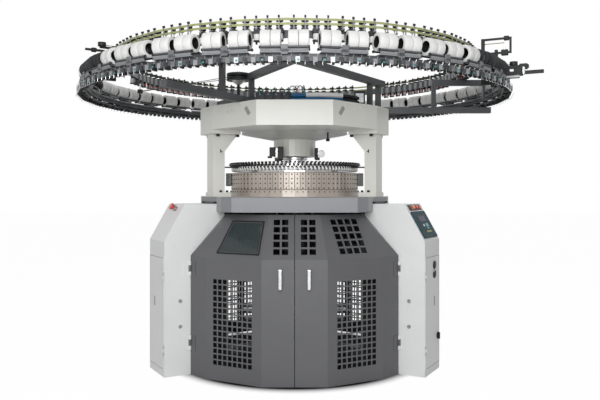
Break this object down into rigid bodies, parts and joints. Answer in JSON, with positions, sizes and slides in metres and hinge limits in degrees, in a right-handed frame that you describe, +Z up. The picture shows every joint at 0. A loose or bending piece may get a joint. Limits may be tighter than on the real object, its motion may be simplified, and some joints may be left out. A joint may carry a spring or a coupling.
{
  "type": "circular knitting machine",
  "caption": "Circular knitting machine: hinged guard doors, leg covers with control panel, cam ring and cylinder, crown on columns, rings of elastane spools and storage feeders.",
  "frame": {"origin": "on the floor under the centre of the machine base, on the upright axis that the needle cylinder turns about", "axes": "+Z is up, +X is to the machine's right as seen in the picture, -Y is the front with the two doors"},
  "size_m": [2.9473, 2.9122, 2.099],
  "materials": {
    "cover_paint": "satin",
    "frame_paint": "satin",
    "base_iron": "painted matt",
    "door_paint": "satin",
    "window_glass": "clear",
    "fitting_steel": "brushed",
    "bright_metal": "polished",
    "needle_steel": "ground",
    "cam_steel": "ground",
    "white_ceramic": "gloss",
    "ring_paint": "satin",
    "grey_plastic": "matt",
    "dark_plastic": "matt",
    "spool_white": "satin",
    "belt_green": "matt",
    "roller_rubber": "matt",
    "motor_paint": "satin",
    "panel_plastic": "gloss",
    "screen_plastic": "gloss",
    "green_plastic": "gloss",
    "amber_plastic": "gloss",
    "red_plastic": "gloss"
  },
  "bodies": {
    "frame": {"bed_plate": "frame_paint", "cabinet_hinges": "fitting_steel", "cam_base_ring": "cam_steel", "cam_ring": "cam_steel", "columns": "frame_paint", "control_panel": "panel_plastic", "control_screen": "screen_plastic", "cover_fittings": "dark_plastic", "cover_left": "cover_paint", "cover_rear": "cover_paint", "cover_right": "cover_paint", "crown": "frame_paint", "dial_cam_ring": "cam_steel", "door_hinge_brackets": "fitting_steel", "drive_motor": "motor_paint", "elastane_spools": "spool_white", "feeder_belts": "belt_green", "guide_strip": "fitting_steel", "hose_loom": "dark_plastic", "hub": "frame_paint", "inner_rail": "fitting_steel", "legs": "frame_paint", "machine_base": "base_iron", "outer_rail": "fitting_steel", "quality_bearing": "fitting_steel", "rear_guards": "door_paint", "ring_arms": "ring_paint", "ring_beams": "ring_paint", "spool_brackets": "grey_plastic", "spool_rollers": "fitting_steel", "storage_feeders": "dark_plastic", "tension_arms": "fitting_steel", "yarn_guide_ring": "fitting_steel", "yarn_guides": "white_ceramic"},
    "door_left": {"door_left": "door_paint", "door_window": "window_glass", "hinge_leaf_left": "fitting_steel", "door_handle_left": "bright_metal"},
    "door_right": {"door_right": "door_paint", "hinge_leaf_right": "fitting_steel", "door_handle_right": "bright_metal"},
    "cabinet_door_left": {"cabinet_door_left": "cover_paint"},
    "cabinet_door_right": {"cabinet_door_right": "cover_paint"},
    "main_switch": {"main_switch_knob": "dark_plastic"},
    "cylinder": {"needle_cylinder": "needle_steel", "cylinder_gear": "needle_steel", "takedown_frame": "frame_paint"},
    "dial": {"dial": "needle_steel"},
    "takedown_roller_front": {"takedown_roller_front": "roller_rubber"},
    "takedown_roller_rear": {"takedown_roller_rear": "roller_rubber"},
    "takedown_roller_upper": {"takedown_roller_upper": "roller_rubber"},
    "batch_roller": {"batch_roller": "needle_steel"},
    "drive": {"drive_shaft": "needle_steel"},
    "quality_wheel": {"quality_wheel": "dark_plastic"},
    "tension_pulley_left": {"tension_pulley_left": "dark_plastic"},
    "tension_pulley_right": {"tension_pulley_right": "dark_plastic"},
    "start_button": {"start_button": "green_plastic"},
    "inch_button": {"inch_button": "amber_plastic"},
    "stop_button": {"stop_button": "red_plastic"},
    "emergency_stop": {"emergency_stop": "red_plastic"}
  },
  "joints": [
    {"name": "door_left_swing", "type": "hinge", "parent": "frame", "child": "door_left", "pos_m": [-0.6521, -0.54854, 0.4], "axis": [0, 0, 1], "range_deg": [-95, 0]},
    {"name": "door_right_swing", "type": "hinge", "parent": "frame", "child": "door_right", "pos_m": [0.6521, -0.54854, 0.4], "axis": [0, 0, 1], "range_deg": [0, 95]},
    {"name": "cabinet_door_left_swing", "type": "hinge", "parent": "frame", "child": "cabinet_door_left", "pos_m": [-0.80495, -0.62178, 0.4], "axis": [0, 0, 1], "range_deg": [0, 105]},
    {"name": "cabinet_door_right_swing", "type": "hinge", "parent": "frame", "child": "cabinet_door_right", "pos_m": [0.80495, -0.62178, 0.4], "axis": [0, 0, 1], "range_deg": [-105, 0]},
    {"name": "main_switch_turn", "type": "hinge", "parent": "cabinet_door_right", "child": "main_switch", "pos_m": [0.91862, -0.41951, 0.232], "axis": [0.866, -0.5, 0], "range_deg": [-90, 0]},
    {"name": "cylinder_spin", "type": "hinge", "parent": "frame", "child": "cylinder", "pos_m": [0, 0, 1], "axis": [0, 0, 1], "continuous": true},
    {"name": "dial_spin", "type": "hinge", "parent": "frame", "child": "dial", "pos_m": [0, 0, 1.307], "axis": [0, 0, 1], "continuous": true},
    {"name": "takedown_roller_front_spin", "type": "hinge", "parent": "cylinder", "child": "takedown_roller_front", "pos_m": [0, -0.0323, 0.64], "axis": [1, 0, 0], "continuous": true},
    {"name": "takedown_roller_rear_spin", "type": "hinge", "parent": "cylinder", "child": "takedown_roller_rear", "pos_m": [0, 0.0323, 0.64], "axis": [1, 0, 0], "continuous": true},
    {"name": "takedown_roller_upper_spin", "type": "hinge", "parent": "cylinder", "child": "takedown_roller_upper", "pos_m": [0, 0, 0.69595], "axis": [1, 0, 0], "continuous": true},
    {"name": "batch_roller_spin", "type": "hinge", "parent": "cylinder", "child": "batch_roller", "pos_m": [0, 0, 0.33], "axis": [1, 0, 0], "continuous": true},
    {"name": "drive_spin", "type": "hinge", "parent": "frame", "child": "drive", "pos_m": [0, 0.476, 0.7], "axis": [0, 0, 1], "continuous": true},
    {"name": "quality_wheel_spin", "type": "hinge", "parent": "frame", "child": "quality_wheel", "pos_m": [-0.358, -0.448, 1.8], "axis": [0, 0, 1], "continuous": true},
    {"name": "tension_pulley_left_spin", "type": "hinge", "parent": "frame", "child": "tension_pulley_left", "pos_m": [-1.13744, -0.76721, 2.03], "axis": [0, 0, 1], "continuous": true},
    {"name": "tension_pulley_right_spin", "type": "hinge", "parent": "frame", "child": "tension_pulley_right", "pos_m": [1.33201, -0.64967, 1.93], "axis": [0, 0, 1], "continuous": true},
    {"name": "start_button_press", "type": "slide", "parent": "frame", "child": "start_button", "axis": [-0.7501, 0.4331, -0.4998], "range_m": [0, 0.004], "stiffness_N_per_m": 600},
    {"name": "inch_button_press", "type": "slide", "parent": "frame", "child": "inch_button", "axis": [-0.7501, 0.4331, -0.4998], "range_m": [0, 0.004], "stiffness_N_per_m": 600},
    {"name": "stop_button_press", "type": "slide", "parent": "frame", "child": "stop_button", "axis": [-0.7501, 0.4331, -0.4998], "range_m": [0, 0.004], "stiffness_N_per_m": 600},
    {"name": "emergency_stop_press", "type": "slide", "parent": "frame", "child": "emergency_stop", "axis": [0.7501, 0.4331, -0.4998], "range_m": [0, 0.004]}
  ],
  "couplings": [
    {"joint": "dial_spin", "follows": "cylinder_spin", "ratio": 1},
    {"joint": "takedown_roller_front_spin", "follows": "cylinder_spin", "ratio": 2},
    {"joint": "takedown_roller_rear_spin", "follows": "cylinder_spin", "ratio": 2},
    {"joint": "takedown_roller_upper_spin", "follows": "cylinder_spin", "ratio": -2},
    {"joint": "batch_roller_spin", "follows": "cylinder_spin", "ratio": 1.8824},
    {"joint": "drive_spin", "follows": "cylinder_spin", "ratio": -11.038},
    {"joint": "quality_wheel_spin", "follows": "cylinder_spin", "ratio": 8},
    {"joint": "tension_pulley_left_spin", "follows": "cylinder_spin", "ratio": 25.333},
    {"joint": "tension_pulley_right_spin", "follows": "cylinder_spin", "ratio": 25.333}
  ]
}
